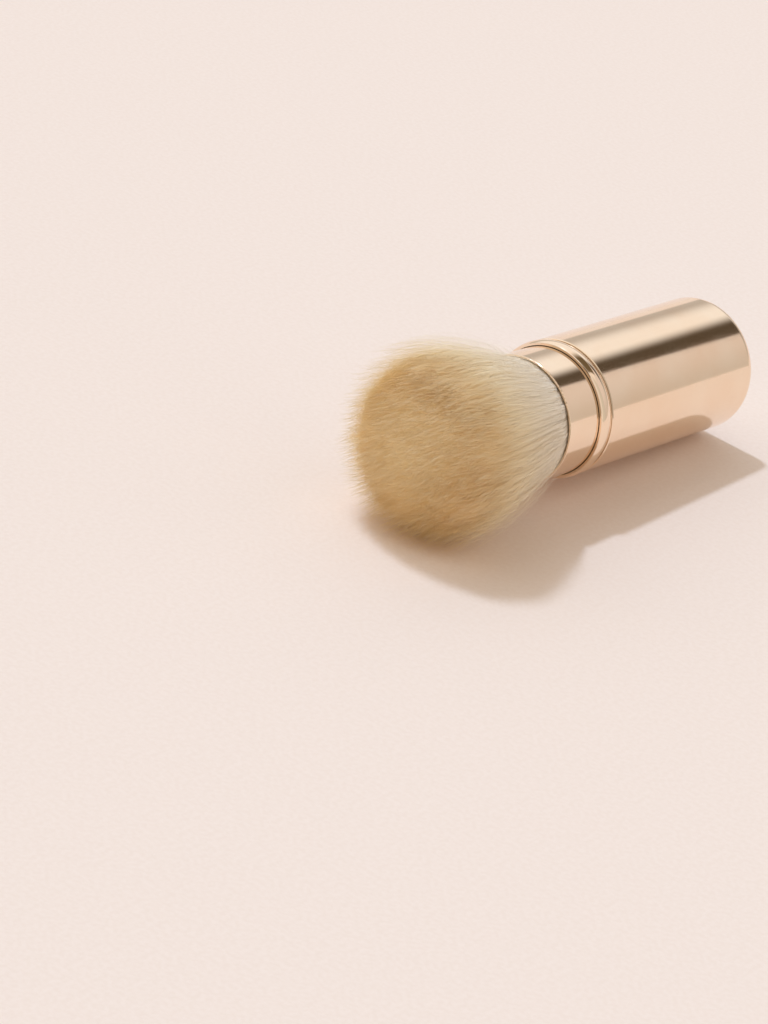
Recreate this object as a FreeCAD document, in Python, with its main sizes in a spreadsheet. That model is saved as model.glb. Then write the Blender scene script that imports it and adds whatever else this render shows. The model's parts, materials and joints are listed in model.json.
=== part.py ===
import FreeCAD, Part
import math
import os
from types import SimpleNamespace

import Sketcher

# Retractable powder brush: a gold case holds the post, the ferrule and the hair, and a gold sleeve slides forward
# out of the case to cover the hair. The brush is modelled lying on a table with its hair out: +Z up, the hair
# towards -Y. Each piece is drawn along its own Z axis, from the case's closed end at 0 towards the hair, and
# then laid down by one common placement.

# Sizes in millimetres, each one a cell of the sheet.
sizes = {
    # case
    "case_radius": 16.5,
    "case_wall": 0.5,
    "case_length": 60.6,
    "case_corner": 3.0,
    "case_edge": 0.2,
    # rim bead at the case's mouth
    "bead_seam": 0.1,
    "bead_width": 4.1,
    "bead_rise": 0.15,
    "bead_lip_drop": 0.35,
    "bead_lip_width": 0.3,
    "bead_front_lip": 0.45,
    "bead_clearance": 0.15,
    # gaps between pieces
    "running_gap": 0.05,
    "glue_gap": 0.03,
    "rest_gap": 0.2,
    "hair_gap": 0.3,
    "ring_gap": 0.08,
    "key_gap": 0.1,
    "ferrule_gap": 0.55,
    # bush and felt inside the case's mouth
    "bush_grip": 2.2,
    "felt_width": 1.4,
    "felt_gap": 0.1,
    # sliding sleeve
    "sleeve_step": 0.5,
    "sleeve_wall": 0.45,
    "sleeve_lip": 0.2,
    "collar_show": 11.3,
    "liner_wall": 0.9,
    "liner_setback": 1.0,
    # weight, its pad and the plug
    "pad_thickness": 0.3,
    "pad_margin": 2.0,
    "weight_thickness": 4.3,
    "weight_bore": 3.6,
    "weight_gap": 0.2,
    "skirt_gap": 0.2,
    "skirt_wall": 1.1,
    "plug_corner_gap": 0.3,
    "plug_web": 2.0,
    "plug_rim": 2.0,
    "plug_rim_wall": 4.9,
    "plug_boss_wall": 2.2,
    "foot_floor": 1.0,
    # rings that the slider lands on
    "landing_thickness": 0.8,
    "landing_inset": 0.9,
    "landing_width": 3.4,
    "cushion_thickness": 0.6,
    "cushion_width": 3.0,
    # slider hub
    "band_width": 2.5,
    "spigot_length": 2.0,
    "spigot_wall": 1.1,
    "hub_ring_wall": 1.8,
    "vent_radius": 1.6,
    "vent_place": 10.0,
    "groove_width": 1.3,
    "groove_depth": 1.1,
    "ring_section": 0.5,
    # post and its keys
    "post_radius": 5.0,
    "key_height": 1.0,
    "key_width": 1.6,
    # screws
    "screw_radius": 1.5,
    "screw_length": 10.0,
    "screw_point": 1.2,
    "head_radius": 2.7,
    "head_height": 1.5,
    "cross_width": 0.7,
    "cross_length": 2.8,
    "cross_depth": 0.8,
    "washer_radius": 3.2,
    "washer_thickness": 0.5,
    "pilot_depth": 9.0,
    # carrier inside the ferrule
    "socket_depth": 3.0,
    "carrier_floor": 1.4,
    "carrier_recess": 1.6,
    "recess_margin": 0.4,
    "crimp_place": 2.2,
    "crimp_width": 0.8,
    "crimp_depth": 0.35,
    # ferrule
    "ferrule_wall": 0.4,
    "ferrule_setback": 1.8,
    # hair and its root
    "root_depth": 4.5,
    "tie_thickness": 0.5,
    "tie_width": 1.0,
    "head_radius_hair": 21.6,
    "head_rise": 29.4,
    "head_dome": 15.0,
}

# shares of other sizes, without a unit
shares = {
    "belly_share": 0.82,
    "flank_turn": 0.09,
}

# counts
key_count = 3
vent_count = 6

doc = FreeCAD.newDocument("powder_brush")
sheet = doc.addObject("Spreadsheet::Sheet", "Sizes")
for row, (alias, number) in enumerate({**sizes, **shares}.items(), start=1):
    sheet.set(f"A{row}", alias.replace("_", " "))
    sheet.set(f"B{row}", str(number))
    sheet.setAlias(f"B{row}", alias)
doc.recompute()


class Length:
    """A size as the sheet's expression and as its number, so that what is worked out from sizes stays bound to them."""

    def __init__(self, text, number):
        self.text = text
        self.number = number

    def __add__(self, other):
        return Length(f"({self.text} + {text_of(other)})", self.number + number_of(other))

    def __sub__(self, other):
        return Length(f"({self.text} - {text_of(other)})", self.number - number_of(other))

    def __mul__(self, other):
        return Length(f"({self.text} * {text_of(other)})", self.number * number_of(other))

    def __truediv__(self, other):
        return Length(f"({self.text} / {text_of(other)})", self.number / number_of(other))


def text_of(value):
    return value.text if isinstance(value, Length) else str(value)


def number_of(value):
    return value.number if isinstance(value, Length) else float(value)


size = SimpleNamespace(**{alias: Length(f"Sizes.{alias}", float(sheet.get(alias))) for alias in {**sizes, **shares}})

# Radii that several pieces share, from the outside in.
case_bore = size.case_radius - size.case_wall
sleeve_radius = case_bore - size.sleeve_step
sleeve_bore = sleeve_radius - size.sleeve_wall
liner_bore = sleeve_bore - size.liner_wall
ferrule_radius = liner_bore - size.ferrule_gap
ferrule_bore = ferrule_radius - size.ferrule_wall
key_radius = size.post_radius + size.key_height

# Places along the axis, from the closed end towards the hair.
case_floor = size.case_wall
weight_start = case_floor + size.pad_thickness
web_start = weight_start + size.weight_thickness + size.weight_gap
web_end = web_start + size.plug_web
plug_end = web_end + size.plug_rim
foot_start = web_start + size.foot_floor
hub_start = plug_end + size.landing_thickness + size.rest_gap
band_end = hub_start + size.band_width
hub_end = band_end + size.spigot_length
bead_start = size.case_length + size.bead_seam
bead_end = bead_start + size.bead_width
bush_start = size.case_length - size.bush_grip
felt_end = bead_end - size.bead_front_lip - size.felt_gap
felt_start = felt_end - size.felt_width
bush_end = felt_start - size.felt_gap
sleeve_mouth = bead_end + size.collar_show
sleeve_travel = bush_start - size.rest_gap - band_end
carrier_start = hub_end + sleeve_travel + size.rest_gap + size.cushion_thickness
socket_end = carrier_start + size.socket_depth
carrier_seat = socket_end + size.carrier_floor
carrier_end = carrier_seat + size.carrier_recess
ferrule_mouth = sleeve_mouth - size.ferrule_setback
root_start = ferrule_mouth - size.root_depth

# The hair's outline: a nearly straight flank up to the belly, a tight arc over it and a flat one across the dome.
hair_mouth_radius = sleeve_bore - size.hair_gap
belly_place = sleeve_mouth + size.head_rise
tip_place = belly_place + size.head_dome
belly_arc = size.head_dome * size.belly_share
belly_centre = size.head_radius_hair - belly_arc
# The flank meets the belly's arc where that arc has turned by an angle; flank_turn is the tangent of its half.
turn_sum = size.flank_turn * size.flank_turn + 1
turn_out = (turn_sum * -1 + 2) / turn_sum
turn_back = size.flank_turn * 2 / turn_sum
flank_end_radius = belly_centre + belly_arc * turn_out
flank_end_place = belly_place - belly_arc * turn_back
flank_swell = flank_end_radius - hair_mouth_radius
flank_run = flank_end_place - sleeve_mouth
flank_arc = (flank_swell * flank_swell + flank_run * flank_run) / (
    (flank_swell * turn_out - flank_run * turn_back) * 2
)
dome_arc = (belly_centre * belly_centre + size.head_dome * size.head_dome - belly_arc * belly_arc) / (
    (size.head_dome - belly_arc) * 2
)
dome_centre = tip_place - dome_arc
dome_share = dome_arc / (dome_arc - belly_arc)
dome_edge_radius = belly_centre * dome_share
dome_edge_place = dome_centre + (belly_place - dome_centre) * dome_share


def laying_placement():
    """The brush rests on its hair's belly and on the rounded rear corner of its case."""
    corner_ring = (size.case_radius - size.case_corner).number
    corner_arc = size.case_corner.number
    hair_ring = belly_centre.number
    hair_arc = belly_arc.number
    along = (belly_place - size.case_corner).number
    outward = hair_ring - corner_ring
    tilt = math.asin((hair_arc - corner_arc) / math.hypot(along, outward)) + math.atan2(outward, along)
    height = corner_ring * math.cos(tilt) + corner_arc * (1 - math.sin(tilt))
    front = dome_centre.number * math.cos(tilt) + dome_arc.number
    back = corner_arc * (1 - math.cos(tilt)) + corner_ring * math.sin(tilt)
    rotation = FreeCAD.Rotation(FreeCAD.Vector(1, 0, 0), 90 - math.degrees(tilt))
    return tilt, FreeCAD.Placement(FreeCAD.Vector(0, (front - back) / 2, height), rotation)


tilt, laying = laying_placement()
pieces = []


def origin_plane(body, role):
    return next(feature for feature in body.Origin.OriginFeatures if feature.Role == role)


def new_body(name):
    body = doc.addObject("PartDesign::Body", name)
    body.Label = name
    body.Placement = laying
    pieces.append(body)
    return body


def new_sketch(body, name, role):
    sketch = body.newObject("Sketcher::SketchObject", name)
    sketch.AttachmentSupport = [(origin_plane(body, role), "")]
    sketch.MapMode = "FlatFace"
    return sketch


def bind(sketch, kind, geometry, point, value):
    """Ties a point's distance from the sketch's origin to the sheet."""
    axis = {"DistanceX": -2, "DistanceY": -1}[kind]
    if number_of(value) == 0:
        sketch.addConstraint(Sketcher.Constraint("PointOnObject", geometry, point, axis))
        return
    index = sketch.addConstraint(Sketcher.Constraint(kind, -1, 1, geometry, point, value.number))
    sketch.setExpression(f"Constraints[{index}]", value.text)


def arc_through(start, end, radius, side):
    """The short arc of that radius from start to end; side is 1 where it bulges away from the axis, -1 towards it."""
    chord = end - start
    half = chord.Length / 2
    normal = FreeCAD.Vector(chord.y, -chord.x, 0).normalize()
    if normal.x < 0:
        normal = normal * -1
    bulge = radius - math.sqrt(max(radius * radius - half * half, 0))
    return Part.Arc(start, (start + end) / 2 + normal * (bulge * side), end)


def draw_outline(sketch, outline):
    """A closed outline: each corner is a radius and a place, and may end with the radius and side of an arc to the next."""
    corners = [FreeCAD.Vector(number_of(corner[0]), number_of(corner[1]), 0) for corner in outline]
    starts = []
    for index, corner in enumerate(outline):
        start = corners[index]
        end = corners[(index + 1) % len(corners)]
        if len(corner) == 2:
            sketch.addGeometry(Part.LineSegment(start, end), False)
            starts.append((1, 2))
            continue
        arc = arc_through(start, end, corner[2].number, corner[3])
        sketch.addGeometry(arc, False)
        begins_here = sketch.getPoint(index, 1).distanceToPoint(start) < sketch.getPoint(index, 2).distanceToPoint(start)
        starts.append((1, 2) if begins_here else (2, 1))
    for index, corner in enumerate(outline):
        following = (index + 1) % len(outline)
        sketch.addConstraint(
            Sketcher.Constraint("Coincident", index, starts[index][1], following, starts[following][0])
        )
        bind(sketch, "DistanceX", index, starts[index][0], corner[0])
        bind(sketch, "DistanceY", index, starts[index][0], corner[1])
        if len(corner) > 2:
            radius = sketch.addConstraint(Sketcher.Constraint("Radius", index, corner[2].number))
            sketch.setExpression(f"Constraints[{radius}]", corner[2].text)


def turned(name, outline):
    """A piece turned round the axis from its outline."""
    body = new_body(name)
    sketch = new_sketch(body, name + "_outline", "XZ_Plane")
    draw_outline(sketch, outline)
    revolution = body.newObject("PartDesign::Revolution", name + "_turned")
    revolution.Profile = sketch
    revolution.ReferenceAxis = (sketch, ["V_Axis"])
    revolution.Angle = 360
    sketch.Visibility = False
    return body


def tube(name, outer, inner, start, end):
    return turned(name, [(inner, start), (outer, start), (outer, end), (inner, end)])


def case_shell():
    corner = size.case_corner
    inside = corner - size.case_wall
    flat = size.case_radius - corner
    turned(
        "case_shell",
        [
            (0, 0),
            (flat, 0, corner, 1),
            (size.case_radius, corner),
            (size.case_radius, size.case_length - size.case_edge),
            (size.case_radius - size.case_edge, size.case_length),
            (case_bore, size.case_length),
            (case_bore, corner, inside, 1),
            (flat, case_floor),
            (0, case_floor),
        ],
    )


def rim_bead():
    lip = size.case_radius - size.bead_lip_drop
    crown = size.bead_lip_drop + size.bead_rise
    half_chord = size.bead_width / 2 - size.bead_lip_width
    crown_arc = (half_chord * half_chord + crown * crown) / (crown * 2)
    mouth = sleeve_radius + size.bead_clearance
    front_lip = bead_end - size.bead_front_lip
    turned(
        "rim_bead",
        [
            (case_bore, bead_start),
            (lip, bead_start),
            (lip, bead_start + size.bead_lip_width, crown_arc, 1),
            (lip, bead_end - size.bead_lip_width),
            (lip, bead_end),
            (mouth, bead_end),
            (mouth, front_lip),
            (case_bore, front_lip),
        ],
    )


def mouth_bush():
    tube("mouth_bush", case_bore - size.glue_gap, sleeve_radius + size.running_gap, bush_start, bush_end)


def felt_ring():
    tube("felt_ring", case_bore - size.glue_gap, sleeve_radius + size.felt_gap, felt_start, felt_end)


def base_plug():
    outer = case_bore - size.glue_gap
    skirt_outer = size.case_radius - size.case_corner - size.skirt_gap
    skirt_inner = skirt_outer - size.skirt_wall
    flange_start = size.case_corner + size.plug_corner_gap
    rim_inner = outer - size.plug_rim_wall
    socket = size.post_radius + size.glue_gap
    boss = socket + size.plug_boss_wall
    hole = size.screw_radius + size.key_gap
    turned(
        "base_plug",
        [
            (hole, web_start),
            (skirt_inner, web_start),
            (skirt_inner, case_floor + size.glue_gap),
            (skirt_outer, case_floor + size.glue_gap),
            (skirt_outer, flange_start),
            (outer, flange_start),
            (outer, plug_end),
            (rim_inner, plug_end),
            (rim_inner, web_end),
            (boss, web_end),
            (boss, plug_end),
            (socket, plug_end),
            (socket, foot_start),
            (hole, foot_start),
        ],
    )


def base_weight():
    outer = size.case_radius - size.case_corner - size.skirt_gap - size.skirt_wall - size.weight_gap
    tube("base_weight", outer, size.weight_bore, weight_start, weight_start + size.weight_thickness)
    tube("weight_pad", outer - size.pad_margin, size.weight_bore, case_floor, weight_start)


def landing_rings():
    outer = case_bore - size.landing_inset
    tube("landing_ring", outer, outer - size.landing_width, plug_end, plug_end + size.landing_thickness)
    bore = key_radius + size.key_gap
    tube("front_cushion", bore + size.cushion_width, bore, carrier_start - size.cushion_thickness, carrier_start)


def centre_post():
    body = turned(
        "centre_post",
        [
            (0, foot_start + size.pilot_depth),
            (size.screw_radius, foot_start + size.pilot_depth),
            (size.screw_radius, foot_start),
            (size.post_radius, foot_start),
            (size.post_radius, socket_end),
            (size.screw_radius, socket_end),
            (size.screw_radius, socket_end - size.pilot_depth),
            (0, socket_end - size.pilot_depth),
        ],
    )
    doc.recompute()
    sketch = new_sketch(body, "post_key_outline", "XY_Plane")
    draw_rectangle(sketch, size.post_radius / 2, key_radius, size.key_width)
    key = body.newObject("PartDesign::Pad", "post_key")
    key.Profile = sketch
    key.setExpression("Length", (carrier_start - plug_end).text)
    sketch.AttachmentOffset = FreeCAD.Placement(FreeCAD.Vector(0, 0, plug_end.number), FreeCAD.Rotation())
    sketch.setExpression("AttachmentOffset.Base.z", plug_end.text)
    repeat_round(body, key, key_count)


def draw_rectangle(sketch, start, end, width):
    """A rectangle along the sketch's X axis, centred on it."""
    half = width.number / 2
    corners = [
        FreeCAD.Vector(start.number, -half, 0),
        FreeCAD.Vector(end.number, -half, 0),
        FreeCAD.Vector(end.number, half, 0),
        FreeCAD.Vector(start.number, half, 0),
    ]
    for index in range(4):
        sketch.addGeometry(Part.LineSegment(corners[index], corners[(index + 1) % 4]), False)
    for index in range(4):
        sketch.addConstraint(Sketcher.Constraint("Coincident", index, 2, (index + 1) % 4, 1))
    sketch.addConstraint(Sketcher.Constraint("Horizontal", 0))
    sketch.addConstraint(Sketcher.Constraint("Horizontal", 2))
    sketch.addConstraint(Sketcher.Constraint("Vertical", 1))
    sketch.addConstraint(Sketcher.Constraint("Symmetric", 3, 1, 3, 2, -1))
    tall = sketch.addConstraint(Sketcher.Constraint("DistanceY", 1, 1, 1, 2, width.number))
    sketch.setExpression(f"Constraints[{tall}]", width.text)
    bind(sketch, "DistanceX", 3, 1, start)
    bind(sketch, "DistanceX", 1, 1, end)


def repeat_round(body, feature, count):
    pattern = body.newObject("PartDesign::PolarPattern", feature.Name + "_round")
    pattern.Originals = [feature]
    pattern.Axis = (origin_plane(body, "Z_Axis"), [""])
    pattern.Angle = 360
    pattern.Occurrences = count
    body.Tip = pattern


def slider_hub():
    outer = case_bore - size.running_gap
    groove_floor = outer - size.groove_depth
    groove_start = hub_start + (size.band_width - size.groove_width) / 2
    spigot = liner_bore - size.glue_gap
    bore = size.post_radius + size.key_gap
    ring = key_radius + size.key_gap + size.hub_ring_wall
    body = turned(
        "slider_hub",
        [
            (bore, hub_start),
            (outer, hub_start),
            (outer, groove_start),
            (groove_floor, groove_start),
            (groove_floor, groove_start + size.groove_width),
            (outer, groove_start + size.groove_width),
            (outer, band_end),
            (spigot, band_end),
            (spigot, hub_end),
            (spigot - size.spigot_wall, hub_end),
            (spigot - size.spigot_wall, band_end),
            (ring, band_end),
            (ring, hub_end),
            (bore, hub_end),
        ],
    )
    doc.recompute()
    keyway = new_sketch(body, "keyway_outline", "XY_Plane")
    draw_rectangle(keyway, size.post_radius / 2, key_radius + size.key_gap, size.key_width + size.key_gap * 2)
    cut_through(body, keyway, "keyway", key_count)
    doc.recompute()
    vent = new_sketch(body, "vent_outline", "XY_Plane")
    circle = Part.Circle(FreeCAD.Vector(size.vent_place.number, 0, 0), FreeCAD.Vector(0, 0, 1), size.vent_radius.number)
    vent.addGeometry(circle, False)
    radius = vent.addConstraint(Sketcher.Constraint("Radius", 0, size.vent_radius.number))
    vent.setExpression(f"Constraints[{radius}]", size.vent_radius.text)
    bind(vent, "DistanceX", 0, 3, size.vent_place)
    bind(vent, "DistanceY", 0, 3, 0)
    cut_through(body, vent, "vent", vent_count)


def cut_through(body, sketch, name, count):
    """Cuts the hub from below its rear face to its front, and repeats the cut round the axis."""
    pocket = body.newObject("PartDesign::Pocket", name)
    pocket.Profile = sketch
    pocket.Type = "Length"
    pocket.Reversed = True
    pocket.setExpression("Length", hub_end.text)
    repeat_round(body, pocket, count)


def friction_ring():
    outer = case_bore - size.ring_gap
    ring = doc.addObject("Part::Torus", "friction_ring")
    ring.Label = "friction_ring"
    ring.setExpression("Radius1", (outer - size.ring_section).text)
    ring.setExpression("Radius2", size.ring_section.text)
    centre = (hub_start + size.band_width / 2).number
    ring.Placement = laying.multiply(FreeCAD.Placement(FreeCAD.Vector(0, 0, centre), FreeCAD.Rotation()))
    pieces.append(ring)


def sleeve():
    lip = size.sleeve_lip
    turned(
        "sleeve_shell",
        [
            (sleeve_bore, band_end),
            (sleeve_radius, band_end),
            (sleeve_radius, sleeve_mouth - lip, lip, 1),
            (sleeve_radius - lip, sleeve_mouth),
            (sleeve_bore, sleeve_mouth),
        ],
    )
    tube("sleeve_liner", sleeve_bore, liner_bore, band_end, sleeve_mouth - size.liner_setback)


def screw(name, seat, direction):
    """A pan-head screw; its head's seat is at that place and its point towards +Z where direction is 1, -Z where -1."""
    flip = FreeCAD.Rotation(FreeCAD.Vector(1, 0, 0), 0 if direction == 1 else 180)
    shank = doc.addObject("Part::Cylinder", name + "_shank")
    shank.setExpression("Radius", (size.screw_radius - size.glue_gap).text)
    shank.setExpression("Height", (size.screw_length - size.screw_point).text)
    point = doc.addObject("Part::Cone", name + "_point")
    point.setExpression("Radius1", (size.screw_radius - size.glue_gap).text)
    point.Radius2 = 0
    point.setExpression("Height", size.screw_point.text)
    point.setExpression("Placement.Base.z", (size.screw_length - size.screw_point).text)
    head = doc.addObject("Part::Cylinder", name + "_head")
    head.setExpression("Radius", size.head_radius.text)
    head.setExpression("Height", size.head_height.text)
    head.setExpression("Placement.Base.z", (size.head_height * -1).text)
    fused = doc.addObject("Part::MultiFuse", name + "_solid")
    fused.Shapes = [shank, point, head]
    bars = []
    for turn in (0, 90):
        bar = doc.addObject("Part::Box", f"{name}_bar_{turn}")
        bar.setExpression("Length", size.cross_length.text)
        bar.setExpression("Width", size.cross_width.text)
        bar.setExpression("Height", size.cross_depth.text)
        across = FreeCAD.Placement(FreeCAD.Vector(), FreeCAD.Rotation(FreeCAD.Vector(0, 0, 1), turn))
        corner = FreeCAD.Vector(-size.cross_length.number / 2, -size.cross_width.number / 2, -size.head_height.number)
        bar.Placement = across.multiply(FreeCAD.Placement(corner, FreeCAD.Rotation()))
        bars.append(bar)
    cross = doc.addObject("Part::MultiFuse", name + "_cross")
    cross.Shapes = bars
    cut = doc.addObject("Part::Cut", name)
    cut.Label = name
    cut.Base = fused
    cut.Tool = cross
    cut.Placement = laying.multiply(FreeCAD.Placement(FreeCAD.Vector(0, 0, seat.number), flip))
    pieces.append(cut)


def screws():
    hole = size.screw_radius + size.key_gap
    washer_start = web_start - size.washer_thickness
    tube("post_washer", size.washer_radius, hole, washer_start, web_start)
    screw("post_screw", washer_start, 1)
    screw("carrier_screw", carrier_seat, -1)


def ferrule_carrier():
    outer = ferrule_bore - size.glue_gap
    groove = outer - size.crimp_depth
    crimp_start = carrier_start + size.crimp_place
    crimp_end = crimp_start + size.crimp_width
    socket = size.post_radius + size.glue_gap
    hole = size.screw_radius + size.key_gap
    recess = size.head_radius + size.recess_margin
    turned(
        "ferrule_carrier",
        [
            (socket, carrier_start),
            (outer, carrier_start),
            (outer, crimp_start),
            (groove, crimp_start),
            (groove, crimp_end),
            (outer, crimp_end),
            (outer, carrier_end),
            (recess, carrier_end),
            (recess, carrier_seat),
            (hole, carrier_seat),
            (hole, socket_end),
            (socket, socket_end),
        ],
    )


def ferrule():
    dent = size.crimp_depth - size.glue_gap
    crimp_start = carrier_start + size.crimp_place + size.glue_gap
    crimp_end = carrier_start + size.crimp_place + size.crimp_width - size.glue_gap
    turned(
        "ferrule",
        [
            (ferrule_bore, carrier_start),
            (ferrule_radius, carrier_start),
            (ferrule_radius, crimp_start),
            (ferrule_radius - dent, crimp_start),
            (ferrule_radius - dent, crimp_end),
            (ferrule_radius, crimp_end),
            (ferrule_radius, ferrule_mouth),
            (ferrule_bore, ferrule_mouth),
            (ferrule_bore, crimp_end),
            (ferrule_bore - dent, crimp_end),
            (ferrule_bore - dent, crimp_start),
            (ferrule_bore, crimp_start),
        ],
    )


def hair():
    held = ferrule_bore - size.glue_gap
    tie_outer = held - size.glue_gap
    tie_inner = tie_outer - size.tie_thickness
    tie_end = root_start + size.tie_width
    turned("glue_plug", [(0, carrier_end), (held, carrier_end), (held, root_start), (0, root_start)])
    tube("root_tie", tie_outer, tie_inner, root_start, tie_end)
    waist = tie_inner - size.glue_gap
    loose = ferrule_bore - size.key_gap
    spread_start = tie_end + size.glue_gap
    turned(
        "hair_tuft",
        [
            (0, root_start),
            (waist, root_start),
            (waist, spread_start),
            (loose, spread_start + size.tie_thickness),
            (loose, ferrule_mouth),
            (liner_bore - size.hair_gap, sleeve_mouth - size.liner_setback),
            (hair_mouth_radius, sleeve_mouth, flank_arc, 1),
            (flank_end_radius, flank_end_place, belly_arc, 1),
            (dome_edge_radius, dome_edge_place, dome_arc, 1),
            (0, tip_place),
        ],
    )


case_shell()
rim_bead()
mouth_bush()
felt_ring()
base_plug()
base_weight()
landing_rings()
centre_post()
slider_hub()
friction_ring()
sleeve()
screws()
ferrule_carrier()
ferrule()
hair()
doc.recompute()

faults = [item.Name for item in doc.Objects if "Invalid" in item.State or "Error" in item.State]
if faults:
    raise RuntimeError(f"objects that failed: {faults}")
for piece in pieces:
    if piece.Shape.isNull() or not piece.Shape.isValid() or not piece.Shape.Solids:
        raise RuntimeError(f"{piece.Label} has no valid solid")

os.makedirs("parts", exist_ok=True)
for piece in pieces:
    piece.Shape.exportStep(f"parts/{piece.Label}.step")

print(f"{len(pieces)} pieces, tilt {math.degrees(tilt):.4f} degrees, travel {sleeve_travel.number:.3f} mm")
towards_hair = laying.Rotation.multVec(FreeCAD.Vector(0, 0, 1))
print("axis towards the hair", [round(part, 6) for part in towards_hair])
print("centre of the closed end", [round(part, 5) for part in laying.Base])
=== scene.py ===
import json
import math

import bpy
import numpy as np
from mathutils import Matrix, Vector


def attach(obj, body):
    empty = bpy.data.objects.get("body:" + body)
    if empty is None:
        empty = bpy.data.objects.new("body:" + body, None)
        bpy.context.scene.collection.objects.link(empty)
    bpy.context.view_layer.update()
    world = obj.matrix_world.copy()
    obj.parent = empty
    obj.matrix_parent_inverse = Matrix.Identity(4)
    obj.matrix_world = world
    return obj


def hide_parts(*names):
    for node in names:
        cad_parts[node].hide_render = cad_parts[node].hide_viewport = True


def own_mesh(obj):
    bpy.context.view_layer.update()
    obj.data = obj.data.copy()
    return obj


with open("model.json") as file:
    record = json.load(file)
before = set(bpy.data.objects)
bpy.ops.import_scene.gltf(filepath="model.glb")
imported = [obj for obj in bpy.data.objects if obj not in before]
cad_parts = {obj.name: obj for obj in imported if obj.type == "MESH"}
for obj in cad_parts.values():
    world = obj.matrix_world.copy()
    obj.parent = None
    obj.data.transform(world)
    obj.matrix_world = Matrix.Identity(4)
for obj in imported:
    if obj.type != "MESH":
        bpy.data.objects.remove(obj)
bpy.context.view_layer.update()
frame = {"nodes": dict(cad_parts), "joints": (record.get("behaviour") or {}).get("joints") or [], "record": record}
nodes = frame["nodes"]
mm = 0.001

# The brush's own axis, from the middle of the closed end towards the hair.
slide = frame["joints"][0]
axisDir = np.array(slide["axis"], float)
axisDir /= np.linalg.norm(axisDir)
axisStart = np.array(frame["record"]["mounts"][0]["pos_m"], float)
sideDir = np.array([1.0, 0.0, 0.0])
upDir = np.cross(sideDir, -axisDir)
upDir *= math.copysign(1.0, upDir[2])
axisTilt = math.atan2(axisDir[2], -axisDir[1])
print("frame loaded:", len(nodes), "nodes, axis tilt", round(math.degrees(axisTilt), 3))


def linear(hexText):
    channels = [int(hexText[i : i + 2], 16) / 255 for i in (1, 3, 5)]
    return tuple(c / 12.92 if c <= 0.04045 else ((c + 0.055) / 1.055) ** 2.4 for c in channels) + (1.0,)


def addNode(tree, kind, inputs=None, stops=(), **settings):
    node = tree.nodes.new("ShaderNode" + kind)
    for name, value in settings.items():
        setattr(node, name, value)
    for name, value in (inputs or {}).items():
        if isinstance(value, bpy.types.NodeSocket):
            tree.links.new(value, node.inputs[name])
        else:
            node.inputs[name].default_value = value
    for index, (place, colour) in enumerate(stops):  # the stops of a colour ramp, in order
        elements = node.color_ramp.elements
        element = elements[index] if index < 2 else elements.new(place)
        element.position, element.color = place, linear(colour)
    return node


def startMaterial(name, **sockets):
    material = bpy.data.materials.new(name)
    material.use_nodes = True
    tree = material.node_tree
    shader = tree.nodes["Principled BSDF"]
    for socket, value in sockets.items():
        shader.inputs[socket.replace("_", " ")].default_value = value
    return material, tree, shader


camera = dict(place=(0.4545, -0.7238, 0.4155), right=(0.7561, 0.6294, 0.1793),
              up=(-0.4163, 0.2512, 0.8739), lens=140.3, sensor=36.0, nearest=0.01, furthest=50.0)
cameraData = bpy.data.cameras.new("photoCamera")
cameraData.lens = camera["lens"]
cameraData.sensor_width = camera["sensor"]
cameraData.clip_start, cameraData.clip_end = camera["nearest"], camera["furthest"]
photoCamera = bpy.data.objects.new("photoCamera", cameraData)
bpy.context.scene.collection.objects.link(photoCamera)
right, up = Vector(camera["right"]).normalized(), Vector(camera["up"])
back = right.cross(up).normalized()
up = back.cross(right)
turned = Matrix((right, up, back)).transposed().to_4x4()
photoCamera.matrix_world = Matrix.Translation(camera["place"]) @ turned
bpy.context.scene.camera = photoCamera
bpy.context.scene.view_settings.view_transform = "Standard"
bpy.context.scene.cycles.diffuse_bounces = 10  # pale hair is pale because light goes on from hair to hair
print("camera placed")


# A pale room lights the brush from everywhere, and one soft lamp high on the left gives the shadow.
light = dict(lampFrom=(-0.461, 0.0536, 0.885), lampPower=1.38, lampColour="#D8E8FF", lampAngle=3.5,
             room="#C4BDB6", slant=0.55, rise=0.1, dimSide=(0.25, -0.96, 0.1))
# What the room shows, each over the last: its colour and its soft edges, from nothing to full, in degrees.
# The edges are measured as height, bearing, slant (bearing and a share of height), rise (height and a share
# of bearing), front (how far towards the dim side), across (towards +X) or ahead (towards +Y).
roomParts = [
    dict(what="ceiling", colour="#FFF3E8", edges=[("height", 33, 63)]),
    dict(what="window", colour="#FFFDFB",
         edges=[("height", 14, 28), ("height", 79, 51), ("bearing", 8, -5)]),
    dict(what="dark gap", colour="#584D40",
         edges=[("height", 13, 27), ("height", 49, 37), ("bearing", -12, 5), ("bearing", 50, 40)]),
    dict(what="roof beam", colour="#6E5F47",
         edges=[("across", -18, -3), ("across", 23, 19), ("height", 41, 50), ("ahead", -4, 4)]),
    dict(what="wall", colour="#E5DAD4",
         edges=[("slant", 32.5, 32.8), ("bearing", 70, 66), ("height", 48, 46)]),
    dict(what="foot of the wall", colour="#D3C9C0",
         edges=[("slant", 32.5, 32.8), ("bearing", 70, 66), ("height", 31, 1)]),
    dict(what="side wall", colour="#D6D0C6",
         edges=[("bearing", 64, 76), ("height", 75, 50), ("ahead", -6, 4)]),
    dict(what="pale side", colour="#FFF6EA",
         edges=[("bearing", 60, 74), ("height", 75, 50), ("ahead", 4, -6)]),
    dict(what="near room", colour="#FFF8EC", edges=[("ahead", -10, -22)]),
    dict(what="dim side", colour="#5A4A36", most=0.92, inMetal=0.6,
         edges=[("front", 24, 50), ("height", 78, 52)]),
    dict(what="far floor", colour="#F4E7DE", edges=[("rise", 4.5, 3.9)]),
]


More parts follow.
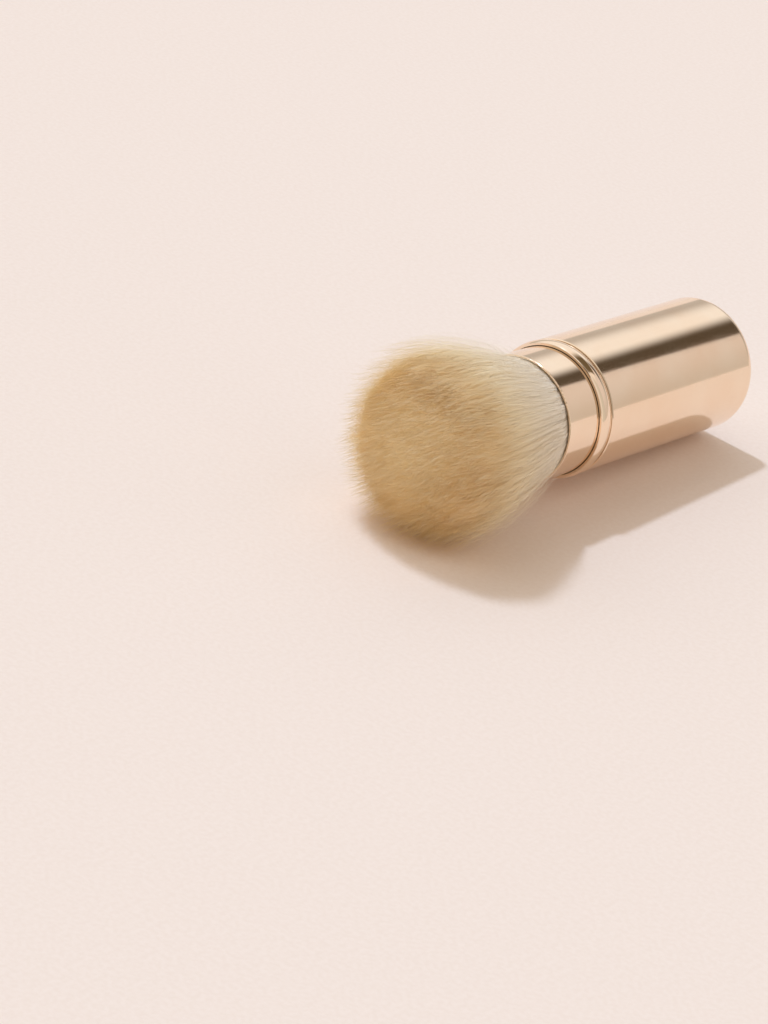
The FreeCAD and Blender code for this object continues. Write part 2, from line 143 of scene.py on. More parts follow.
def buildWorld():
    world = bpy.data.worlds.new("paleRoom")
    bpy.context.scene.world = world
    world.use_nodes = True
    tree = world.node_tree
    tree.nodes.clear()
    looking = addNode(tree, "TexCoord").outputs["Generated"]
    way = addNode(tree, "SeparateXYZ", {"Vector": looking}).outputs
    # Most of the room is the same in front of the brush and behind it, so that its metal has something to
    # show from any side.
    depth = addNode(tree, "Math", {0: way["Y"]}, operation="ABSOLUTE").outputs[0]
    bearing = addNode(tree, "Math", {0: way["X"], 1: depth}, operation="ARCTAN2").outputs[0]
    height = addNode(tree, "Math", {0: way["Z"]}, operation="ARCSINE").outputs[0]
    slant = addNode(tree, "Math", {0: height, 1: light["slant"], 2: bearing},
                    operation="MULTIPLY_ADD").outputs[0]
    rise = addNode(tree, "Math", {0: bearing, 1: light["rise"], 2: height},
                   operation="MULTIPLY_ADD").outputs[0]
    towards = addNode(tree, "VectorMath", {0: looking, 1: light["dimSide"]},
                      operation="DOT_PRODUCT").outputs["Value"]
    front = addNode(tree, "Math", {0: towards}, operation="ARCSINE").outputs[0]
    across = addNode(tree, "Math", {0: way["X"]}, operation="ARCSINE").outputs[0]
    ahead = addNode(tree, "Math", {0: way["Y"]}, operation="ARCSINE").outputs[0]
    measures = dict(height=height, bearing=bearing, slant=slant, rise=rise, front=front, across=across,
                    ahead=ahead)
    mirrored = addNode(tree, "LightPath").outputs["Is Glossy Ray"]
    colour = linear(light["room"])
    for part in roomParts:
        share = part.get("most", 1.0)
        if "inMetal" in part:  # this part shows at another strength in a reflection
            share = addNode(tree, "MapRange", {"Value": mirrored, "To Min": part["most"],
                                               "To Max": part["inMetal"]}).outputs["Result"]
        for measure, low, high in part["edges"]:
            span = {"Value": measures[measure], "From Min": math.radians(low), "From Max": math.radians(high)}
            edge = addNode(tree, "MapRange", span, interpolation_type="SMOOTHSTEP").outputs["Result"]
            share = addNode(tree, "Math", {0: share, 1: edge}, operation="MULTIPLY").outputs[0]
        colour = addNode(tree, "Mix", {0: share, 6: colour, 7: linear(part["colour"])},
                         data_type="RGBA").outputs[2]
    background = addNode(tree, "Background", {"Color": colour, "Strength": 1.0})
    addNode(tree, "OutputWorld", {"Surface": background.outputs[0]})


buildWorld()
lampData = bpy.data.lights.new("keyLamp", "SUN")
lampData.energy = light["lampPower"]
lampData.color = linear(light["lampColour"])[:3]
lampData.angle = math.radians(light["lampAngle"])
keyLamp = bpy.data.objects.new("keyLamp", lampData)
bpy.context.scene.collection.objects.link(keyLamp)
keyLamp.rotation_mode = "QUATERNION"
keyLamp.rotation_quaternion = Vector(light["lampFrom"]).to_track_quat("Z", "Y")

board = dict(radius=6.0, sides=96, colour="#FAECE2", speck="#F7E8DD", toothScale=900.0)


def buildFloor():
    ring = [(board["radius"] * math.cos(a), board["radius"] * math.sin(a), 0.0)
            for a in np.linspace(0, 2 * math.pi, board["sides"], endpoint=False)]
    mesh = bpy.data.meshes.new("floor")
    mesh.from_pydata(ring, [], [tuple(range(len(ring)))])
    floor = bpy.data.objects.new("floor", mesh)
    bpy.context.scene.collection.objects.link(floor)
    # Matt painted board: an even pale pink-cream with a barely visible tooth.
    material, tree, shader = startMaterial("paintedBoard", Roughness=0.85, Specular_IOR_Level=0.2)
    place = addNode(tree, "TexCoord").outputs["Object"]
    tooth = addNode(tree, "TexNoise", {"Vector": place, "Scale": board["toothScale"],
                                       "Detail": 2.0}).outputs["Fac"]
    tone = addNode(tree, "ValToRGB", {"Fac": tooth}, stops=[(0.35, board["speck"]), (0.65, board["colour"])])
    tree.links.new(tone.outputs["Color"], shader.inputs["Base Color"])
    mesh.materials.append(material)


buildFloor()
print("light and floor done")


# The texture's own place, turned so that its Y runs along the brush.
def alongAxis(tree):
    place = addNode(tree, "TexCoord").outputs["Object"]
    return addNode(tree, "Mapping", {"Vector": place, "Rotation": (axisTilt, 0.0, 0.0)}).outputs["Vector"]


gold = dict(tone="#F9E4CC", toneWarm="#F7DDC2", cloudScale=90.0, roughness=0.07, roughnessWorn=0.11,
            lineSpacing=0.35, lineStretch=0.04, lineDepth=0.0012)


# Aluminium cup, drawn, polished and anodised champagne gold: a clear mirror with a slight satin grain along
# the draw.
def makeGoldAluminium():
    material, tree, shader = startMaterial("polishedGoldAluminium", Metallic=1.0)
    place = alongAxis(tree)
    stretch = (1.0, gold["lineStretch"], 1.0)
    stretched = addNode(tree, "Mapping", {"Vector": place, "Scale": stretch}).outputs["Vector"]
    # Draw lines are under 0.1 mm apart: drawn 0.35 mm apart, so that they show.
    grain = addNode(tree, "TexNoise", {"Vector": stretched, "Scale": 1 / (gold["lineSpacing"] * mm),
                                       "Detail": 3.0, "Roughness": 0.6}).outputs["Fac"]
    cloud = addNode(tree, "TexNoise", {"Vector": place, "Scale": gold["cloudScale"],
                                       "Detail": 3.0}).outputs["Fac"]
    tone = addNode(tree, "ValToRGB", {"Fac": cloud}, stops=[(0.3, gold["toneWarm"]), (0.7, gold["tone"])])
    tree.links.new(tone.outputs["Color"], shader.inputs["Base Color"])
    worn = addNode(tree, "MapRange", {"Value": grain, "From Min": 0.3, "From Max": 0.7,
                                      "To Min": gold["roughness"],
                                      "To Max": gold["roughnessWorn"]}).outputs["Result"]
    tree.links.new(worn, shader.inputs["Roughness"])
    lines = addNode(tree, "Bump", {"Height": grain, "Strength": 0.25,
                                   "Distance": gold["lineDepth"] * mm}).outputs["Normal"]
    tree.links.new(lines, shader.inputs["Normal"])
    return material


bead = dict(tone="#F9E2C9", roughness=0.07, roughnessWorn=0.12, markSpacing=0.25, markStretch=0.03)


# Solid aluminium ring, turned, polished and anodised: brighter than the case, with faint turning marks
# round it.
def makeGoldBead():
    material, tree, shader = startMaterial("turnedGoldAluminium", Metallic=1.0)
    shader.inputs["Base Color"].default_value = linear(bead["tone"])
    place = alongAxis(tree)
    # Turning marks are 0.05 mm apart: drawn 0.25 mm apart, so that they show.
    stretch = (bead["markStretch"], 1.0, bead["markStretch"])
    rings = addNode(tree, "Mapping", {"Vector": place, "Scale": stretch}).outputs["Vector"]
    marks = addNode(tree, "TexNoise", {"Vector": rings, "Scale": 1 / (bead["markSpacing"] * mm),
                                       "Detail": 2.0}).outputs["Fac"]
    worn = addNode(tree, "MapRange", {"Value": marks, "To Min": bead["roughness"],
                                      "To Max": bead["roughnessWorn"]}).outputs["Result"]
    tree.links.new(worn, shader.inputs["Roughness"])
    return material


# Plain drawn aluminium tube, left bare because it doesn't show: grey and satin.
def makeBareAluminium():
    material, tree, shader = startMaterial("bareAluminium", Metallic=1.0)
    place = alongAxis(tree)
    stretched = addNode(tree, "Mapping", {"Vector": place, "Scale": (1.0, 0.05, 1.0)}).outputs["Vector"]
    drawn = addNode(tree, "TexNoise", {"Vector": stretched, "Scale": 3000.0, "Detail": 3.0}).outputs["Fac"]
    tone = addNode(tree, "ValToRGB", {"Fac": drawn}, stops=[(0.3, "#C9CBCD"), (0.7, "#DEDFE1")])
    tree.links.new(tone.outputs["Color"], shader.inputs["Base Color"])
    worn = addNode(tree, "MapRange", {"Value": drawn, "To Min": 0.25, "To Max": 0.42}).outputs["Result"]
    tree.links.new(worn, shader.inputs["Roughness"])
    return material


# Steel: the cast weight is dull and a little mottled, the screws are zinc plated and brighter.
def makeSteel(name, dark, pale, low, high, spacing):
    material, tree, shader = startMaterial(name, Metallic=1.0)
    place = addNode(tree, "TexCoord").outputs["Object"]
    mottle = addNode(tree, "TexNoise", {"Vector": place, "Scale": 1 / (spacing * mm),
                                        "Detail": 4.0}).outputs["Fac"]
    tone = addNode(tree, "ValToRGB", {"Fac": mottle}, stops=[(0.3, dark), (0.7, pale)])
    tree.links.new(tone.outputs["Color"], shader.inputs["Base Color"])
    worn = addNode(tree, "MapRange", {"Value": mottle, "To Min": low, "To Max": high}).outputs["Result"]
    tree.links.new(worn, shader.inputs["Roughness"])
    return material


# Moulded plastics: ABS is ivory with a fine spark-eroded skin, acetal is whiter and slick.
def makeMoulded(name, tone, shade, rough, ior, grain):
    material, tree, shader = startMaterial(name, Roughness=rough, IOR=ior)
    place = addNode(tree, "TexCoord").outputs["Object"]
    cloud = addNode(tree, "TexNoise", {"Vector": place, "Scale": 200.0, "Detail": 2.0}).outputs["Fac"]
    mixed = addNode(tree, "ValToRGB", {"Fac": cloud}, stops=[(0.35, shade), (0.65, tone)])
    tree.links.new(mixed.outputs["Color"], shader.inputs["Base Color"])
    skin = addNode(tree, "TexNoise", {"Vector": place, "Scale": 1 / (grain * mm),
                                      "Detail": 2.0}).outputs["Fac"]
    bump = addNode(tree, "Bump", {"Height": skin, "Strength": 0.3, "Distance": 0.01 * mm}).outputs["Normal"]
    tree.links.new(bump, shader.inputs["Normal"])
    return material


# Needled wool felt: beige, matt and fibrous.
def makeFelt():
    material, tree, shader = startMaterial("woolFelt", Roughness=0.95, Sheen_Weight=0.3)
    place = addNode(tree, "TexCoord").outputs["Object"]
    # Wool fibres are 0.03 mm thick: drawn 0.12 mm, so that they show.
    fibre = addNode(tree, "TexNoise", {"Vector": place, "Scale": 1 / (0.12 * mm), "Detail": 4.0,
                                       "Distortion": 1.5}).outputs["Fac"]
    tone = addNode(tree, "ValToRGB", {"Fac": fibre}, stops=[(0.35, "#8E7D69"), (0.65, "#AB9983")])
    tree.links.new(tone.outputs["Color"], shader.inputs["Base Color"])
    bump = addNode(tree, "Bump", {"Height": fibre, "Strength": 0.6, "Distance": 0.06 * mm}).outputs["Normal"]
    tree.links.new(bump, shader.inputs["Normal"])
    return material


# Set epoxy, amber and glossy, with the waves that it settled in.
def makeGlue():
    material, tree, shader = startMaterial("setEpoxy", Roughness=0.18, IOR=1.55)
    place = addNode(tree, "TexCoord").outputs["Object"]
    cloud = addNode(tree, "TexNoise", {"Vector": place, "Scale": 400.0, "Detail": 3.0}).outputs["Fac"]
    tone = addNode(tree, "ValToRGB", {"Fac": cloud}, stops=[(0.35, "#B98F49"), (0.65, "#D2AE6C")])
    tree.links.new(tone.outputs["Color"], shader.inputs["Base Color"])
    bump = addNode(tree, "Bump", {"Height": cloud, "Strength": 0.4, "Distance": 0.1 * mm}).outputs["Normal"]
    tree.links.new(bump, shader.inputs["Normal"])
    return material


# Twisted cotton thread wound round the root: pale, with its turns side by side and painted shade in the grooves
# between them.
def makeThread():
    material, tree, shader = startMaterial("cottonThread", Roughness=0.85, Sheen_Weight=0.2)
    place = alongAxis(tree)
    # The turns lie 0.3 mm apart. The wave's bands are 1/3.18 of its scale apart.
    turns = addNode(tree, "TexWave", {"Vector": place, "Scale": 0.314 / (0.3 * mm), "Distortion": 0.3},
                    bands_direction="Y").outputs["Fac"]
    # The tone is darker where the wave is low, in the grooves between the turns: painted shade.
    tone = addNode(tree, "ValToRGB", {"Fac": turns}, stops=[(0.1, "#BFB096"), (0.6, "#EADFC9")])
    tree.links.new(tone.outputs["Color"], shader.inputs["Base Color"])
    bump = addNode(tree, "Bump", {"Height": turns, "Strength": 0.8, "Distance": 0.1 * mm}).outputs["Normal"]
    tree.links.new(bump, shader.inputs["Normal"])
    return material


finishes = {
    "gold_aluminium": makeGoldAluminium(),
    "gold_bead": makeGoldBead(),
    "ferrule_aluminium": makeBareAluminium(),
    "weight_steel": makeSteel("castSteel", "#8B8D8F", "#A6A8AA", 0.45, 0.62, 0.8),
    "screw_steel": makeSteel("zincPlatedSteel", "#A9ACB0", "#C9CCCF", 0.22, 0.34, 0.3),
    "ivory_plastic": makeMoulded("mouldedAbs", "#EFE6D6", "#ECE2D0", 0.45, 1.53, 0.15),
    "slide_plastic": makeMoulded("mouldedAcetal", "#F3F1EB", "#EFECE4", 0.32, 1.48, 0.2),
    "soft_rubber": makeMoulded("siliconeRubber", "#3A3836", "#33312F", 0.62, 1.43, 0.12),
    "felt": makeFelt(),
    "set_glue": makeGlue(),
    "binding_thread": makeThread(),
}
for node in nodes.values():
    for place in node.material_slots:
        slotName = place.material.name.split(".")[0]
        if slotName in finishes:
            place.material = finishes[slotName]
print("finishes on the packed pieces done")


# Places are in mm along the brush's axis from its closed end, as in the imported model. Other lengths are in
# mm too.
hair = dict(
    # How many hairs, in how many pieces, and how narrow they are squeezed when the sleeve covers them.
    seed=11, clumps=13000, strandsPerClump=9, sectors=20, keep=0.53,
    # The head's outline, from the collar's mouth along the flank and round the belly to the top of the dome.
    mouthPlace=76.1, mouthRadius=14.75, flankTurn=0.09, flankSteps=30, flankDraw=0.9, drawPlace=88.0,
    drawLength=8.0, bellyPlace=105.5, bellyRadius=21.6, bellyArc=12.3, bellySteps=8, tipPlace=120.5,
    # The hairs fan out from the heart. Those near the outline start at the root, the rest nearer their tips.
    rootPlace=72.3, heartPlace=95.0, heartDepth=25.0, endLength=12.0, longFrom=0.86, longStations=8,
    shortStations=5, stationCurve=0.85, spreadFrom=1.0, spreadLength=9.0,
    # One hair: its width, taper and slight waves.
    width=0.13, widthLeast=0.75, widthMore=0.5, tipWidth=0.03, taperLength=3.0, taperCurve=0.7, flatness=0.35,
    turnSpread=6.0, wave=0.10, waveLeast=0.4, waveShortest=3.2, waveMore=3.0, freeLength=8.0,
    # One clump of hairs: its place, size, length and lean. Neighbouring clumps lean the same way in patches.
    jitterShare=0.006, jitterTurn=0.02, clumpSize=0.36, rootSpread=2.0, clumpPinch=0.9, pinchSpread=0.5,
    spreadCurve=0.7, clumpInset=0.28, clumpTone=0.45, lean=0.7, leanFade=6, clumpLean=0.035, ownLean=0.03,
    patchLean=0.02, patchSize=4.0, patchStretch=1.3, patchWaves=((1.7, 0.3, 2.1), (2.3, 1.9, 0.4)),
    # Most tips end in a dense mass, and finer, looser hairs reach further out, so that the outline fades.
    denseInset=1.4, denseDepth=0.35, underCover=1.1, looseShare=0.3, looseReach=3.8, looseFall=1.7,
    looseWidth=0.035, looseLean=0.05, loosePinch=2.5,
    # The head is pushed up a little by what it lies on, and its lowest hairs lie flat on the floor.
    lift=0.3, liftHeight=30.0, floorGap=0.3, floorGive=0.2, floorFade=1.0,
)
# The colours run from the root, at 0, to a little past the tip, at 1.
hairTone = dict(stops=((0.28, "#FFF8EB"), (0.62, "#FFF4DA"), (0.87, "#FDECC2"), (1.0, "#FFF4D8")),
                rootEnd=69.8, pastTip=2.0, wobble=0.12, variation=0.03)
# Inside the collar the hair widens from the ferrule: places before the collar's mouth, and radii.
throat = dict(before=(6.3, 1.8, 1.0), radii=(12.6, 13.1, 13.85))
# No hair passes through the ferrule, the collar's liner or its rim: places past the mouth, and the most
# radius there.
fence = dict(past=(-7.3, -1.8, -1.0, 0.0, 2.2, 6.7), most=(12.7, 13.0, 13.9, 14.8, 16.3, 30.0))


def smooth(share):
    share = np.clip(share, 0, 1)
    return share**2 * (3 - 2 * share)


# The outline of the head: a nearly straight flank from the collar, then the belly's arc.
def outlineTable():
    turn = 2 * math.atan(hair["flankTurn"])
    arc = hair["bellyArc"]
    endPlace = hair["bellyPlace"] - arc * math.sin(turn)
    endRadius = hair["bellyRadius"] - arc * (1 - math.cos(turn))
    swell, run = endRadius - hair["mouthRadius"], endPlace - hair["mouthPlace"]
    flankArc = (swell**2 + run**2) / (2 * (swell * math.cos(turn) - run * math.sin(turn)))
    centrePlace = endPlace + flankArc * math.sin(turn)
    centreRadius = endRadius - flankArc * math.cos(turn)
    flank = np.linspace(hair["mouthPlace"], endPlace, hair["flankSteps"])
    belly = np.linspace(endPlace, hair["bellyPlace"], hair["bellySteps"])[1:]
    flankRadii = centreRadius + np.sqrt(flankArc**2 - (flank - centrePlace) ** 2)
    bellyRadii = hair["bellyRadius"] - arc + np.sqrt(arc**2 - (belly - hair["bellyPlace"]) ** 2)
    # The flank is drawn in a little where it leaves the collar.
    drawn = np.clip(1 - ((flank - hair["drawPlace"]) / hair["drawLength"]) ** 2, 0, 1)
    flankRadii -= hair["flankDraw"] * drawn**2
    places = np.concatenate([hair["mouthPlace"] - np.array(throat["before"]), flank, belly])
    return places, np.concatenate([throat["radii"], flankRadii, bellyRadii])


outlinePlaces, outlineRadii = outlineTable()


def outerRadius(place):
    return np.interp(place, outlinePlaces, outlineRadii)


# Where the dome's surface is at a distance from the axis.
def domePlace(radius):
    arc = hair["bellyArc"]
    bellyCentre = hair["bellyRadius"] - arc
    rise = hair["tipPlace"] - hair["bellyPlace"]
    domeArc = (bellyCentre**2 + rise**2 - arc**2) / (2 * (rise - arc))
    meeting = domeArc * bellyCentre / (domeArc - arc)
    dome = hair["tipPlace"] - domeArc + np.sqrt(np.maximum(domeArc**2 - radius**2, 0))
    belly = hair["bellyPlace"] + np.sqrt(np.maximum(arc**2 - (radius - bellyCentre) ** 2, 0))
    return np.where(radius < meeting, dome, belly)


def outsideShare(place):
    return smooth((place - hair["mouthPlace"] - hair["spreadFrom"]) / hair["spreadLength"])


# How far along the hair a place is, for its colour, kept inside the bake's square.
def alongShare(place):
    margin = 0.002
    length = hair["tipPlace"] + hairTone["pastTip"] - hairTone["rootEnd"]
    return np.clip((place - hairTone["rootEnd"]) / length, margin, 1 - margin)


# From distances in mm to the brush as it lies, in metres.
def settle(across, height, place):
    rise = hair["lift"] * smooth((place - hair["mouthPlace"]) / hair["heartDepth"])
    rise = rise * np.clip(0.5 + height / hair["liftHeight"], 0, 1)
    points = axisStart + np.multiply.outer(across * mm, sideDir)
    points = points + np.multiply.outer((height + rise) * mm, upDir) + np.multiply.outer(place * mm, axisDir)
    low = hair["floorGap"] * mm
    under = np.minimum(points[..., 2] - low, 0)
    give = hair["floorGive"] * mm * (1 - np.exp(under / (hair["floorFade"] * mm)))
    points[..., 2] = np.maximum(points[..., 2], low) + give
    return points


# How much each clump leans, across and upwards.
def clumpLeans(share, turn, random):
    leans = random.normal(0, hair["clumpLean"], (len(share), 2))
    east = hair["patchSize"] * share * np.cos(turn)
    north = hair["patchSize"] * share * np.sin(turn)
    waves = [np.sin(east * scale + one) + np.sin(north * scale * hair["patchStretch"] + other)
             for scale, one, other in hair["patchWaves"]]
    return leans + np.stack(waves, axis=-1) * hair["patchLean"]


def makeStrands(random):
    count, perClump = hair["clumps"], hair["strandsPerClump"]
    order = np.arange(count)
    # The clumps stand in a sunflower's spiral: share is how far out from the middle, turn is round the axis.
    share = np.sqrt((order + 0.5) / count) + random.normal(0, hair["jitterShare"], count)
    share = np.clip(share, 0, 1)
    turn = order * math.pi * (3 - math.sqrt(5)) + random.normal(0, hair["jitterTurn"], count)
    clumpInset = random.normal(0, hair["clumpInset"], count)
    leans = clumpLeans(share, turn, random)
    clumpTone = random.random(count)
    share, turn, clumpInset, clumpTone = (
        np.repeat(values, perClump) for values in (share, turn, clumpInset, clumpTone))
    total = count * perClump
    leanBy = np.repeat(leans, perClump, axis=0) + random.normal(0, hair["ownLean"], (total, 2))
    offsetSize = hair["clumpSize"] * np.sqrt(random.random(total))
    offsetTurn = random.random(total) * 2 * math.pi
    offset = np.stack([np.cos(offsetTurn), np.sin(offsetTurn)], -1) * offsetSize[:, None]
    pinch = hair["clumpPinch"] + hair["pinchSpread"] * (random.random(total) - 0.5)
    loose = random.random(total) < hair["looseShare"]
    inset = hair["denseInset"] + np.where(loose, -random.exponential(hair["looseFall"], total),
                                          clumpInset + random.exponential(hair["denseDepth"], total))
    inset = np.maximum(inset, -hair["looseReach"])
    shrink = 1 - inset / hair["heartDepth"]
    leanOut = hair["lean"] * share * (1 - share ** hair["leanFade"])
    heartPlace, endLength = hair["heartPlace"], hair["endLength"]
    endPlace = heartPlace + (domePlace(share * hair["bellyRadius"]) - heartPlace) * shrink
    long = share > hair["longFrom"]
    startPlace = np.where(long, hair["rootPlace"], endPlace - endLength)
    wavePhase = random.random(total) * 2 * math.pi
    waveLength = hair["waveShortest"] + hair["waveMore"] * random.random(total)
    waveTurn = random.random(total) * math.pi
    wave = hair["wave"] * (hair["waveLeast"] + random.random(total))
    width = hair["widthLeast"] + hair["widthMore"] * random.random(total)
    width = np.where(loose, hair["looseWidth"], hair["width"]) * width
    pinch = np.where(loose, hair["loosePinch"], pinch)
    leanBy += np.where(loose, hair["looseLean"], 0)[:, None] * random.normal(0, 1, (total, 2))
    tone = hair["clumpTone"] * clumpTone + (1 - hair["clumpTone"]) * random.random(total)
    built = []
    for chosen, stations in ((long, hair["longStations"]), (~long, hair["shortStations"])):
        pick = np.flatnonzero(chosen)
        start, finish = startPlace[pick, None], endPlace[pick, None]
        place = start + (finish - start) * np.linspace(0, 1, stations) ** hair["stationCurve"]
        toTip = np.clip((place - finish) / endLength + 1, 0, 1)
        outer = outerRadius(place)
        radius = share[pick, None] * (outer - inset[pick, None] * outsideShare(place))
        radius = radius + leanOut[pick, None] * toTip**2
        # The clump's hairs part at the root and meet at the tip, and each waves a little.
        spread = hair["rootSpread"] - (hair["rootSpread"] - pinch[pick, None]) * toTip ** hair["spreadCurve"]
        spread = spread * outer / hair["bellyRadius"]
        free = np.clip((place - hair["mouthPlace"] - hair["spreadFrom"]) / hair["freeLength"], 0, 1)
        phase = 2 * math.pi * place / waveLength[pick, None] + wavePhase[pick, None]
        ripple = wave[pick, None] * free * np.sin(phase)
        leaning = leanBy[pick, None] * endLength * toTip[..., None] ** 2
        across = (radius * np.cos(turn[pick, None]) + offset[pick, None, 0] * spread
                  + ripple * np.cos(waveTurn[pick, None]) + leaning[..., 0])
        height = (radius * np.sin(turn[pick, None]) + offset[pick, None, 1] * spread
                  + ripple * np.sin(waveTurn[pick, None]) + leaning[..., 1])
        limit = np.interp(place - hair["mouthPlace"], fence["past"], fence["most"])
        squeeze = np.minimum(1.0, limit / np.maximum(np.hypot(across, height), 1e-6))
        points = settle(across * squeeze, height * squeeze, place)
        taper = np.clip((finish - place) / hair["taperLength"], 0, 1) ** hair["taperCurve"]
        size = hair["tipWidth"] + (width[pick, None] - hair["tipWidth"]) * taper
        built.append(dict(points=points, size=size * mm, along=alongShare(place), tone=tone[pick],
                          turn=turn[pick] % (2 * math.pi)))
    return built


# A hair's three corners in section, as shares of its width sideways and of its thickness outwards.
section = ((0.5, 0.3), (0.0, -0.7), (-0.5, 0.3))


def strandMesh(batch, pick, random):
    points, size, along = batch["points"][pick], batch["size"][pick], batch["along"][pick]
    count, stations = size.shape
    tangent = points[:, -1] - points[:, 0]
    tangent /= np.linalg.norm(tangent, axis=1, keepdims=True)
    # Each hair is a little flat, with its broad side outwards.
    heart = axisStart + axisDir * hair["heartPlace"] * mm
    turned = random.normal(0, hair["turnSpread"] * mm, (count, 3))
    outward = points[:, stations * 2 // 3] - heart + turned
    outward -= np.sum(outward * tangent, 1, keepdims=True) * tangent
    outward /= np.linalg.norm(outward, axis=1, keepdims=True)
    sideways = np.cross(tangent, outward)
    rings = stations - 1
    corners = []
    for side, out in section:
        way = side * sideways + out * hair["flatness"] * outward
        corners.append(points[:, :rings] + way[:, None] * size[:, :rings, None])
    vertices = np.concatenate([np.stack(corners, 2).reshape(count, rings * 3, 3), points[:, -1:]], 1)
    perStrand = rings * 3 + 1
    quads = [(3 * k + i, 3 * k + (i + 1) % 3, 3 * k + 3 + (i + 1) % 3, 3 * k + 3 + i)
             for k in range(rings - 1) for i in range(3)]
    last = 3 * (rings - 1)
    triangles = [(last + i, last + (i + 1) % 3, perStrand - 1) for i in range(3)] + [(2, 1, 0)]
    base = np.arange(count)[:, None, None] * perStrand
    quadFaces = (np.array(quads)[None] + base).reshape(-1, 4)
    triFaces = (np.array(triangles)[None] + base).reshape(-1, 3)
    vertexAlong = np.concatenate([np.repeat(along[:, :rings], 3, axis=1), along[:, -1:]], 1)
    vertexTone = np.repeat(batch["tone"][pick][:, None], perStrand, 1)
    return vertices.reshape(-1, 3), quadFaces, triFaces, vertexTone.ravel(), vertexAlong.ravel()


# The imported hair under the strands: places past the collar's mouth, and how far it stays in from the outline
# there.
core = dict(past=(-3.7, -1.8, 0.0, 1.9, 3.9, 7.0, 11.0, 16.0, 21.0, 25.9), gap=0.6, domeRows=14, columns=5,
            tone=0.005)


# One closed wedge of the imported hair, between two turns round the axis.
def underbody(low, high):
    places = hair["mouthPlace"] + np.array(core["past"])
    cover = hair["denseInset"] + hair["underCover"]
    radii = outerRadius(places) - core["gap"] - (cover - core["gap"]) * outsideShare(places)
    shrink = 1 - cover / hair["heartDepth"]
    domeRadii = hair["bellyRadius"] * np.sin(np.linspace(math.pi / 2, 0, core["domeRows"])[:-1])
    domePlaces = hair["heartPlace"] + (domePlace(domeRadii) - hair["heartPlace"]) * shrink
    places = np.concatenate([places, domePlaces])
    radii = np.concatenate([radii, domeRadii * shrink])
    turns = np.linspace(low, high, core["columns"])
    outer = settle(np.multiply.outer(radii, np.cos(turns)), np.multiply.outer(radii, np.sin(turns)),
                   places[:, None] + 0 * turns)
    inner = settle(0 * places, 0 * places, places)
    top = hair["heartPlace"] + (hair["tipPlace"] - hair["heartPlace"]) * shrink
    tip = settle(np.zeros(1), np.zeros(1), np.array([top]))
    rows, columns = outer.shape[:2]
    vertices = np.concatenate([outer.reshape(-1, 3), inner, tip])
    middle = rows * columns
    last = len(vertices) - 1
    quads, triangles = [], []
    for r in range(rows - 1):
        for c in range(columns - 1):
            a = r * columns + c
            quads.append((a, a + 1, a + columns + 1, a + columns))
        for c, flip in ((0, False), (columns - 1, True)):
            side = (middle + r, middle + r + 1, (r + 1) * columns + c, r * columns + c)
            quads.append(side[::-1] if flip else side)
    for c in range(columns - 1):
        triangles.append((middle, c + 1, c))
        triangles.append(((rows - 1) * columns + c, (rows - 1) * columns + c + 1, last))
    triangles.append((middle + rows - 1, last, (rows - 1) * columns))
    triangles.append((last, middle + rows - 1, rows * columns - 1))
    along = alongShare(np.concatenate([np.repeat(places, columns), places, [top]]))
    return vertices, np.array(quads), np.array(triangles), np.full(len(vertices), core["tone"]), along


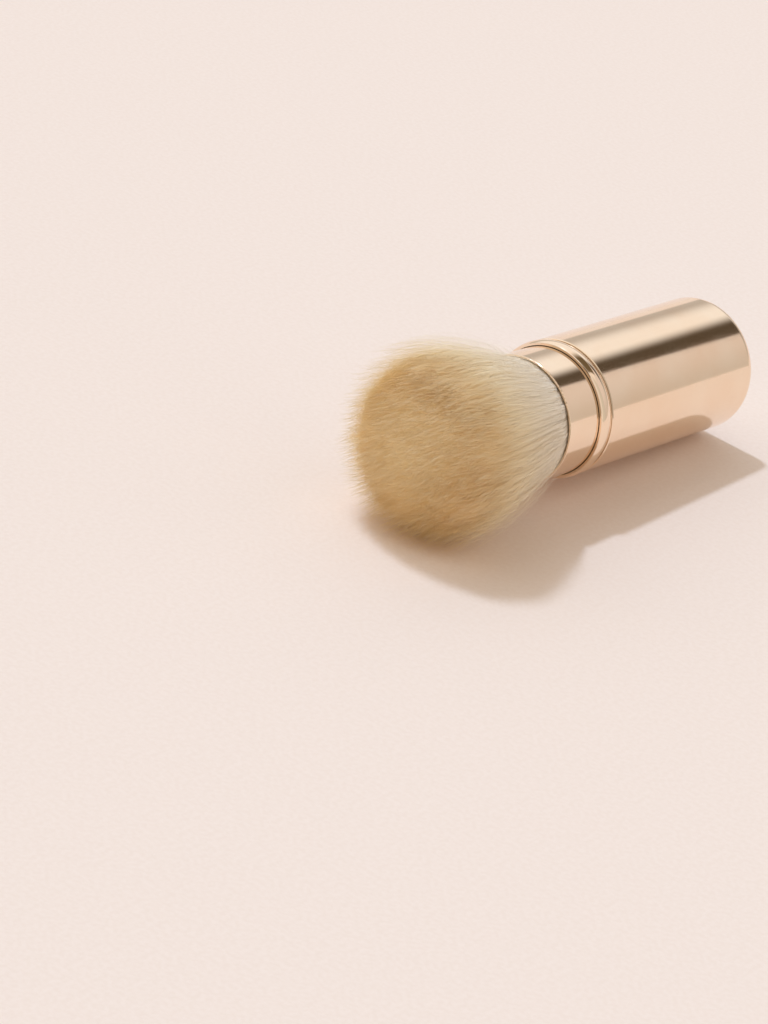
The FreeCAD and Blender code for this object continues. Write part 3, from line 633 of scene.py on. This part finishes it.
# One mesh of many parts, with each corner's tone and place along the hair as its bake coordinates.
def joinMesh(name, parts):
    shifts = np.cumsum([0] + [len(part[0]) for part in parts])
    vertices = np.concatenate([part[0] for part in parts])
    quads = np.concatenate([part[1] + shift for part, shift in zip(parts, shifts)])
    triangles = np.concatenate([part[2] + shift for part, shift in zip(parts, shifts)])
    tones, alongs = (np.concatenate([part[i] for part in parts]) for i in (3, 4))
    corners = np.concatenate([quads.ravel(), triangles.ravel()])
    sizes = np.concatenate([np.full(len(quads), 4), np.full(len(triangles), 3)])
    starts = np.cumsum(sizes) - sizes
    mesh = bpy.data.meshes.new(name)
    mesh.vertices.add(len(vertices))
    mesh.vertices.foreach_set("co", vertices.astype(np.float32).ravel())
    mesh.loops.add(len(corners))
    mesh.loops.foreach_set("vertex_index", corners.astype(np.int32))
    mesh.polygons.add(len(sizes))
    mesh.polygons.foreach_set("loop_start", starts.astype(np.int32))
    mesh.update(calc_edges=True)
    mesh.polygons.foreach_set("use_smooth", np.zeros(len(sizes), bool))
    layer = mesh.uv_layers.new(name="OFBake")
    places = np.stack([tones[corners], alongs[corners]], -1)
    layer.data.foreach_set("uv", places.astype(np.float32).ravel())
    mesh.validate()
    return mesh


# Fine goat hair, bleached and dyed: matt, cream at the root and golden tan at the tip, each hair a little
# different.
def makeHairFinish():
    material, tree, shader = startMaterial("dyedGoatHair", Roughness=0.55, Specular_IOR_Level=0.55,
                                           Sheen_Weight=0.25, Sheen_Roughness=0.5)
    mapped = addNode(tree, "UVMap", uv_map="OFBake").outputs["UV"]
    parts = addNode(tree, "SeparateXYZ", {"Vector": mapped}).outputs
    wobble = addNode(tree, "TexWhiteNoise", {"W": parts["X"]}, noise_dimensions="1D").outputs["Value"]
    moved = addNode(tree, "Math", {0: wobble, 1: hairTone["wobble"], 2: parts["Y"]},
                    operation="MULTIPLY_ADD").outputs[0]
    tone = addNode(tree, "ValToRGB", {"Fac": moved}, stops=hairTone["stops"])
    bright = addNode(tree, "MapRange", {"Value": parts["X"], "To Min": 1 - hairTone["variation"],
                                        "To Max": 1.0}).outputs["Result"]
    shaded = addNode(tree, "HueSaturation", {"Color": tone.outputs["Color"], "Value": bright})
    tree.links.new(shaded.outputs["Color"], shader.inputs["Base Color"])
    return material


def buildHair():
    random = np.random.default_rng(hair["seed"])
    batches = makeStrands(random)
    finish = makeHairFinish()
    width = 2 * math.pi / hair["sectors"]
    faces = 0
    for number in range(hair["sectors"]):
        low, high = number * width, (number + 1) * width
        parts = [underbody(low, high)]
        for batch in batches:
            pick = np.flatnonzero((batch["turn"] >= low) & (batch["turn"] < high))
            parts.append(strandMesh(batch, pick, random))
        name = f"hair_lock_{number + 1:02d}"
        mesh = joinMesh(name, parts)
        faces += sum(len(part[1]) * 2 + len(part[2]) for part in parts)
        lock = bpy.data.objects.new(name, mesh)
        bpy.context.scene.collection.objects.link(lock)
        mesh.materials.append(finish)
        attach(lock, "handle")
        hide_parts("hair_tuft")
        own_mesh(lock)
    print("hair done:", sum(len(b["tone"]) for b in batches), "strands,", faces, "triangles")


buildHair()
